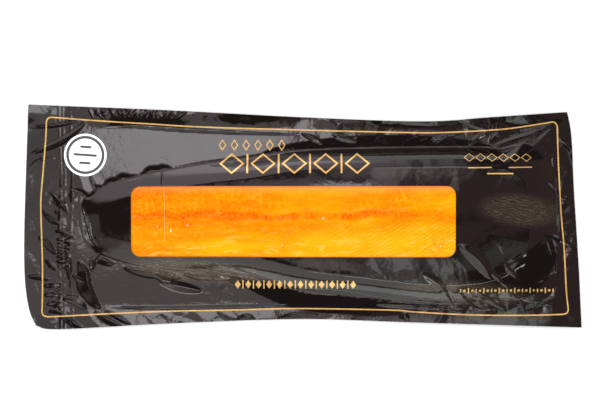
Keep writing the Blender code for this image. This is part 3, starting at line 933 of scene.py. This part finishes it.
def flesh_material():
    n = Look("salmon_flesh_detail")
    x, y = n.add("ShaderNodeSeparateXYZ", {0: n.place}).outputs[:2]
    wander = n.ramp(n.noise(0.045), 0.3, 0.7, -0.004, 0.004, soft=False)
    from_seam = n.math("SUBTRACT", y, n.math("ADD", wander, 0.001))

    drawn_out = n.moved(turn=0.03, scale=(3.2, 1, 1))
    warm = n.patches(0.026, 0.36, 0.66, detail=5.0, roughness=0.62, place=drawn_out)
    along = n.ramp(x, -0.22, 0.02)
    base = n.mix(warm, (0.80, 0.185, 0.0004), (0.83, 0.325, 0.0010))
    base = n.mix(along, n.mix(warm, (0.79, 0.104, 0.0004), (0.82, 0.207, 0.0006)), base)
    belly = n.ramp(from_seam, -0.010, -0.036)
    patchy = n.patches(0.020, 0.30, 0.62, 0.25, detail=5.0, place=drawn_out)
    base = n.mix(n.times(belly, patchy), base, (0.85, 0.385, 0.0040))
    low_streak = n.ramp(n.math("ABSOLUTE", n.math("ADD", from_seam, 0.026)), 0.0, 0.007, 0.7, 0.0)
    base = n.mix(n.times(low_streak, n.ramp(x, 0.02, -0.12)), base, (0.81, 0.180, 0.0010))

    cloudy = n.patches(0.017, 0.42, 0.66)
    upright = n.waves(0.0085, n.moved(turn=0.12), distortion=9.0, detail=4.0, detail_scale=0.8)
    above = n.times(n.ramp(from_seam, 0.002, 0.012), cloudy)
    upright = n.times(n.ramp(upright, 0.50, 0.95), above, 0.40)
    base = n.mix(upright, base, (0.84, 0.40, 0.004))
    slant = n.waves(0.0042, n.moved(turn=2.10), distortion=5.0, detail=4.0, detail_scale=1.0)
    below = n.times(n.ramp(from_seam, -0.006, -0.018), n.ramp(x, -0.04, 0.10, 0.10, 1.0))
    below = n.times(below, n.patches(0.013, 0.36, 0.60, 0.2))
    slant = n.times(n.ramp(slant, 0.45, 0.95), below, 0.60)
    base = n.mix(slant, base, (0.85, 0.48, 0.035))

    from_seam = n.math("ABSOLUTE", from_seam)
    seam = n.times(n.ramp(from_seam, 0.0010, 0.0075, 1.0, 0.0), n.ramp(x, 0.06, 0.15, 1.0, 0.45))
    seam = n.times(seam, n.patches(0.016, 0.30, 0.58, 0.35, detail=4.0))
    base = n.mix(seam, base, (0.79, 0.084, 0.0006))
    blood = n.patches(0.0085, 0.62, 0.70, detail=1.0)
    blood = n.times(blood, n.ramp(from_seam, 0.0, 0.0065, 0.85, 0.0))
    base = n.mix(blood, base, (0.68, 0.040, 0.008))
    ruddy = n.ramp(n.length((0.158, -0.034, 0), 0.3, (0.016, 0.012, 1)), 0.2, 1.1, 0.6, 0.0)
    ruddy = n.times(ruddy, n.patches(0.006, 0.4, 0.6))
    base = n.mix(ruddy, base, (0.80, 0.150, 0.012))
    fine = n.patches(0.0030, 0.35, 0.7, 0.0, 0.32)
    base = n.mix(fine, base, (0.86, 0.38, 0.008))
    streak = n.moved(turn=0.10, scale=(4.0, 1, 1))
    pale = n.patches(0.0050, 0.52, 0.70, detail=4.0, distortion=1.0, place=streak)
    pale = n.times(pale, n.ramp(y, -0.012, -0.040, 0.16, 0.75))
    base = n.mix(pale, base, (0.90, 0.50, 0.080))

    # painted shade and reflection along the window's edges, a deeper and pinker colour: from, to, share
    # and colour
    for place, start, end, share, tone in (
        (y, 0.0255, 0.0365, 0.55, (0.84, 0.270, 0.075)),
        (y, 0.0335, 0.0365, 0.8, (0.82, 0.150, 0.050)),
        (y, -0.0452, -0.0475, 0.8, (0.80, 0.155, 0.022)),
        (x, -0.2005, -0.2035, 0.6, (0.82, 0.140, 0.022)),
        (x, 0.1780, 0.1815, 0.7, (0.82, 0.150, 0.012)),
    ):
        base = n.mix(n.ramp(place, start, end, 0.0, share), base, tone)
    relief = n.math("ADD", n.times(upright, 0.5), n.noise(0.004))
    normal = n.bump(relief, 0.0006, 0.35)
    roughness = n.patches(0.008, 0.3, 0.7, 0.35, 0.55)
    return n.finish(Base_Color=base, Roughness=roughness, Normal=normal, Specular_IOR_Level=0.0)


# The salmon


def make_salmon(flesh):
    """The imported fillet, remeshed finely, with rounded edges and low bands of muscle."""
    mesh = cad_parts["salmon_side"].data.copy()
    mesh.materials.clear()
    mesh.materials.append(flesh)
    obj = in_scene("salmon_flesh_side", mesh)
    remesh = obj.modifiers.new("even mesh", "REMESH")
    remesh.mode, remesh.voxel_size, remesh.use_smooth_shade = "VOXEL", FLESH_PITCH, True
    soften = obj.modifiers.new("soft edges", "SMOOTH")
    soften.factor, soften.iterations = 0.5, 8
    made = bpy.data.meshes.new_from_object(obj.evaluated_get(bpy.context.evaluated_depsgraph_get()))
    obj.modifiers.clear()
    obj.data = made
    points = np.array([v.co for v in made.vertices])
    x, y, z = points.T
    top = smooth(z / z.max() * 2)
    bands = np.where(y > 0, np.sin(x * 700 + 60 * y), np.sin(x * 500 - y * 900))
    points[:, 2] += top * (FLESH_RISE + BAND_RISE * bands)
    # The flesh stays under the film, also in its folds.
    within = is_inside(points[:, :2], film.fillet)
    steps = FLESH_PITCH * np.array(((0, 0), (1, 0), (-1, 0), (0, 1), (0, -1)))
    heights = [draped(points[within, :2] + step, -FLESH_GAP)[:, 2] for step in steps]
    ceiling = np.maximum(np.min(heights, axis=0), 1.0 * MM)
    points[within, 2] = np.minimum(points[within, 2], ceiling)
    made.vertices.foreach_set("co", points.ravel())
    made.shade_smooth()
    return placed(obj, "salmon_flesh", "salmon_side")


# Label

# Its ring's outer and inner width, and its bars: height up the label and length, all in mm
RING = (45.2, 39.0)
LABEL_BARS = [(9.5, 13.0), (0.0, 27.0), (-9.5, 13.0)]
LABEL_TURN = math.radians(-4)


def make_label():
    """A round paper label with a dark ring and three plain bars, a little turned."""
    paper = plain("label_white", 0.015, (0.93, 0.95, 0.97), (0.97, 0.98, 0.99), (0.003, 0.4, 0.5))
    ink = plain("label_ink", 0.006, (0.050, 0.052, 0.056), (0.075, 0.078, 0.084), 0.4)
    cx, cy = LABEL_CENTRE / MM
    edge, *ring = [oval(cx, cy, width, width, 96) for width in (2 * LABEL_RADIUS / MM, *RING)]
    disc = print_shape("label_disc", [edge], paper, "label_paper", 0.25 * MM)
    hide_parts("round_label")
    marks = [tuple(ring)]
    c, s = math.cos(LABEL_TURN), math.sin(LABEL_TURN)
    for up, width in LABEL_BARS:
        marks.append(bar(cx - s * up, cy + c * up, width, 2.6, LABEL_TURN))
    print_shape("label_marks", marks, ink, "label_paper", 0.40 * MM)


# Gold prints

# The border line's four sides, in mm, anticlockwise from the lower left corner
GOLD_SIDES = [
    [(-309.2, -118.6), (-290.7, -117.9), (-222.7, -114.4), (-154.9, -111.6), (-86.7, -110.4),
     (-3.3, -108.6), (105.5, -110.4), (132.8, -112.6), (200.6, -116.1), (268.8, -116.5),
     (315.0, -115.2)],
    [(315.0, -115.2), (312.0, -86.7), (309.6, -39.3), (306.0, 2.2), (304.3, 31.8), (302.5, 67.4),
     (301.3, 106.5), (300.6, 113.4)],
    [(300.6, 113.4), (281.2, 110.0), (233.8, 103.5), (162.7, 99.8), (115.2, 100.0), (-3.3, 102.9),
     (-121.8, 106.5), (-181.0, 110.0), (-240.3, 113.6), (-303.5, 118.4)],
    [(-303.5, 118.4), (-304.4, 93.7), (-307.1, 59.7), (-310.1, 23.4), (-310.1, 0.7), (-308.4, -53.5),
     (-308.4, -94.5), (-309.2, -118.6)],
]


def make_gold():
    tones = (0.56, 0.30, 0.08), (0.93, 0.61, 0.22)
    gold = plain("gold_print", 0.012, *tones, (0.004, 0.25, 0.38), detail=2.0, Metallic=0.45)
    sides = [np.array(side) * MM for side in GOLD_SIDES]
    border = rounded_loop([side[-1] for side in sides], sides, 7 * MM)
    ribbon("gold_border", border, 1.6 * MM, gold, "black_film", closed=True)

    title = [lozenge_ring(-84 + 37 * k, 63, 30, 25, 2.6) for k in range(5)]
    title += [bar(-65.5 + 37 * k, 63, 2.2, 23) for k in range(4)]
    title += [lozenge_ring(-95 + 14.0 * k, 85, 9, 14, 1.5) for k in range(6)]

    crest = [lozenge_ring(196 + 13.5 * k, 70, 13, 10, 1.0) for k in range(6)]
    crest += [bar(208, 58.0, 28, 1.3, 0.02), bar(256, 58.4, 28, 1.3, 0.02), bar(232, 51.0, 31, 1.6)]

    footer = [lozenge(-77 + 12.4 * k, -80, 7, 10) for k in range(12)]
    footer += [bar(-70.8 + 12.4 * k, -80, 1.4, 10) for k in range(11)]

    corner = [bar(186 + 9.2 * k, -87, 1.5, 6.5 if k % 2 else 4.0) for k in range(13)]
    corner += [oval(190.6 + 9.2 * k, -87, 3.0, 3.0, 16) for k in range(12)]

    prints = {"gold_title": title, "gold_crest": crest, "gold_footer": footer, "gold_corner": corner}
    for name, shapes in prints.items():
        print_shape(name, shapes, gold, "black_film")


def make_crease_highlight():
    """A painted highlight along a fold in the clear film: a pale line laid on it."""
    crease_highlight = plain("painted_crease_highlight", 0.004, (0.95, 0.50, 0.12), (1.0, 0.66, 0.30), 0.35, Alpha=0.38)
    line = smooth_line(np.array([(-163.6, 36.0), (-163.3, 10.0), (-162.8, -28.0)]) * MM)
    ribbon("window_crease", line, 0.75 * MM, crease_highlight, "clear_film", 0.05 * MM)


# Painted glints on the flesh, small pale specks of highlight: place, length along Y and width, in mm
GLINT_SPECKS = [
    ((-155.6, -15.6), 3.2, 1.5), ((-136.0, -9.7), 3.2, 1.1), ((24.0, -1.4), 2.6, 1.7),
    ((-24.6, -33.4), 1.8, 1.2), ((-171.5, -11.5), 1.4, 0.9), ((162.0, -34.5), 1.4, 1.8),
]


def make_painted_glints():
    # painted highlights: pale specks laid on the flesh, which has no specular of its own
    glint_white = plain("glint_white", 0.002, (0.95, 0.80, 0.60), (0.98, 0.90, 0.75), (0.001, 0.3, 0.4))
    shapes = [oval(x, y, width, length, 14) for (x, y), length, width in GLINT_SPECKS]
    print_shape("painted_glint_specks", shapes, glint_white, "salmon_flesh", 0.05 * MM)


# Room

# What the film mirrors: soft boxes and the dark between them. Each is given by the tilts of film that
# mirror it to the camera, low to high along X and along Y, then its soft edge, brightness and tint.
SOFT_BOXES = [
    # overhead, for the flat film at the upper left
    ((-0.0440, 0.0035), (-0.003, 0.036), 0.0035, 4.9, (1.0, 0.95, 0.985)),
    # overhead, for the rest of the flat film
    ((-0.095, 0.006), (-0.060, -0.003), 0.005, 1.25, (1.0, 0.87, 0.84)),
    ((-0.095, -0.044), (-0.003, 0.060), 0.006, 1.05, (1.0, 0.90, 0.90)),
    ((0.006, 0.11), (-0.070, 0.060), 0.010, 0.30, (1.0, 0.60, 0.56)),
    ((0.004, 0.030), (0.004, 0.075), 0.008, 1.00, (1.0, 0.84, 0.86)),
    ((0.12, 1.30), (-0.160, 0.60), 0.015, 0.30, (1.0, 0.60, 0.56)),
    ((0.045, 0.13), (-0.150, -0.100), 0.012, 0.45, (0.96, 1.0, 0.95)),
    ((-0.002, 0.035), (-0.170, -0.122), 0.006, 1.50, (0.96, 1.0, 0.95)),
    ((0.010, 0.080), (0.075, 0.180), 0.015, 1.60, (0.96, 1.0, 0.98)),
    # behind, for the fillet's back edge
    ((-0.50, -0.03), (0.130, 1.30), 0.045, 1.75, (1.0, 0.86, 0.92)),
    ((-0.03, 0.055), (0.050, 0.22), 0.020, 1.10, (1.0, 0.84, 0.88)),
    ((-0.03, 0.055), (0.26, 0.72), 0.050, 1.30, (1.0, 0.88, 0.92)),
    ((-0.50, 0.055), (0.72, 1.30), 0.060, 1.60, (1.0, 0.92, 0.97)),
    # in front, for its belly edge
    ((-0.30, 0.055), (-0.66, -0.20), 0.030, 1.50, (1.0, 0.96, 0.88)),
    ((-0.035, 0.05), (-0.20, -0.130), 0.015, 0.60, (1.0, 0.94, 0.86)),
    ((-0.13, -0.035), (-0.20, -0.160), 0.010, 1.20, (1.0, 0.94, 0.86)),
    ((-0.60, 0.16), (-1.30, -0.74), 0.040, 2.3, (0.97, 1.0, 0.97)),
    # beside, low
    ((-0.50, -0.36), (-0.40, 0.10), 0.020, 1.6, (0.97, 0.98, 1.0)),
    ((-0.30, -0.190), (-0.20, -0.020), 0.012, 0.60, (1.0, 0.92, 0.86)),
    ((-0.30, -0.145), (-0.20, -0.095), 0.012, 0.65, (1.0, 0.92, 0.86)),
    # small lamps, for the glints
    ((-0.300, -0.270), (-0.100, -0.065), 0.005, 14.0, (0.98, 1.0, 1.0)),
    ((-0.060, 0.200), (-0.245, -0.232), 0.004, 9.0, (0.97, 1.0, 1.0)),
]
DARK_ROOM = 0.06
LIT_ROOM = 1.30


def make_world():
    """White light on the floor and the flesh, and soft boxes in all that is mirrored."""
    world = bpy.data.worlds.new("room")
    world.use_nodes = True
    n = Nodes(world.node_tree)
    way = {0: n.add("ShaderNodeTexCoord").outputs["Generated"]}
    x, y, z = n.add("ShaderNodeSeparateXYZ", way).outputs
    above = n.math("MAXIMUM", n.math("ADD", z, 1.0), 0.5)
    tilts = [n.math("DIVIDE", axis, above) for axis in (x, y)]
    mirrored = (DARK_ROOM, DARK_ROOM, DARK_ROOM)
    for across, up, feather, brightness, tint in SOFT_BOXES:
        share = brightness
        for tilt, (low, high) in zip(tilts, (across, up)):
            rise = n.ramp(tilt, low - feather, low + feather)
            fall = n.ramp(tilt, high - feather, high + feather, 1.0, 0.0)
            share = n.times(rise, fall, share)
        glow = n.add("ShaderNodeVectorMath", {0: tint, "Scale": share}, operation="SCALE")
        both = {0: mirrored, 1: glow.outputs[0]}
        mirrored = n.add("ShaderNodeVectorMath", both, operation="ADD").outputs[0]
    path = n.add("ShaderNodeLightPath")
    light = n.mix(path.outputs["Is Glossy Ray"], (LIT_ROOM, LIT_ROOM, LIT_ROOM), mirrored)
    n.join(light, n.tree.nodes["Background"].inputs["Color"])
    bpy.context.scene.world = world


def make_room():
    scene = bpy.context.scene
    tones = (0.90, 0.90, 0.91), (0.93, 0.93, 0.94)
    floor_white = plain("floor_white", 0.4, *tones, 0.9, Specular_IOR_Level=0.0)
    half = FLOOR_HALF
    corners = np.array(((-half, -half, 0), (half, -half, 0), (half, half, 0), (-half, half, 0)))
    floor = mesh_object("floor", corners, np.array([(0, 1, 2, 3)]), floor_white)
    floor.data.shade_flat()

    make_world()
    data = bpy.data.lights.new("soft lamp", "AREA")
    data.shape = "RECTANGLE"
    data.size, data.size_y = LAMP_SIZE
    data.energy = LAMP_POWER
    lamp = in_scene("soft lamp", data)
    lamp.location = LAMP_AT
    lamp.rotation_euler = (-lamp.location).to_track_quat("-Z", "Y").to_euler()
    lamp.visible_camera = False
    lamp.visible_glossy = False

    data = bpy.data.cameras.new("camera")
    data.sensor_width = SENSOR
    data.lens = SENSOR * CAMERA_AT[2] / VIEW_WIDTH
    data.clip_end = 50
    camera = in_scene("camera", data)
    camera.location = CAMERA_AT
    scene.camera = camera
    scene.view_settings.view_transform = "Standard"


film = Film()
upper_film, window_panel = make_films(black_film_material(), clear_film_material())
film_trees = [tree_of(upper_film), tree_of(window_panel)]
make_salmon(flesh_material())
make_label()
make_gold()
make_crease_highlight()
make_painted_glints()
make_room()
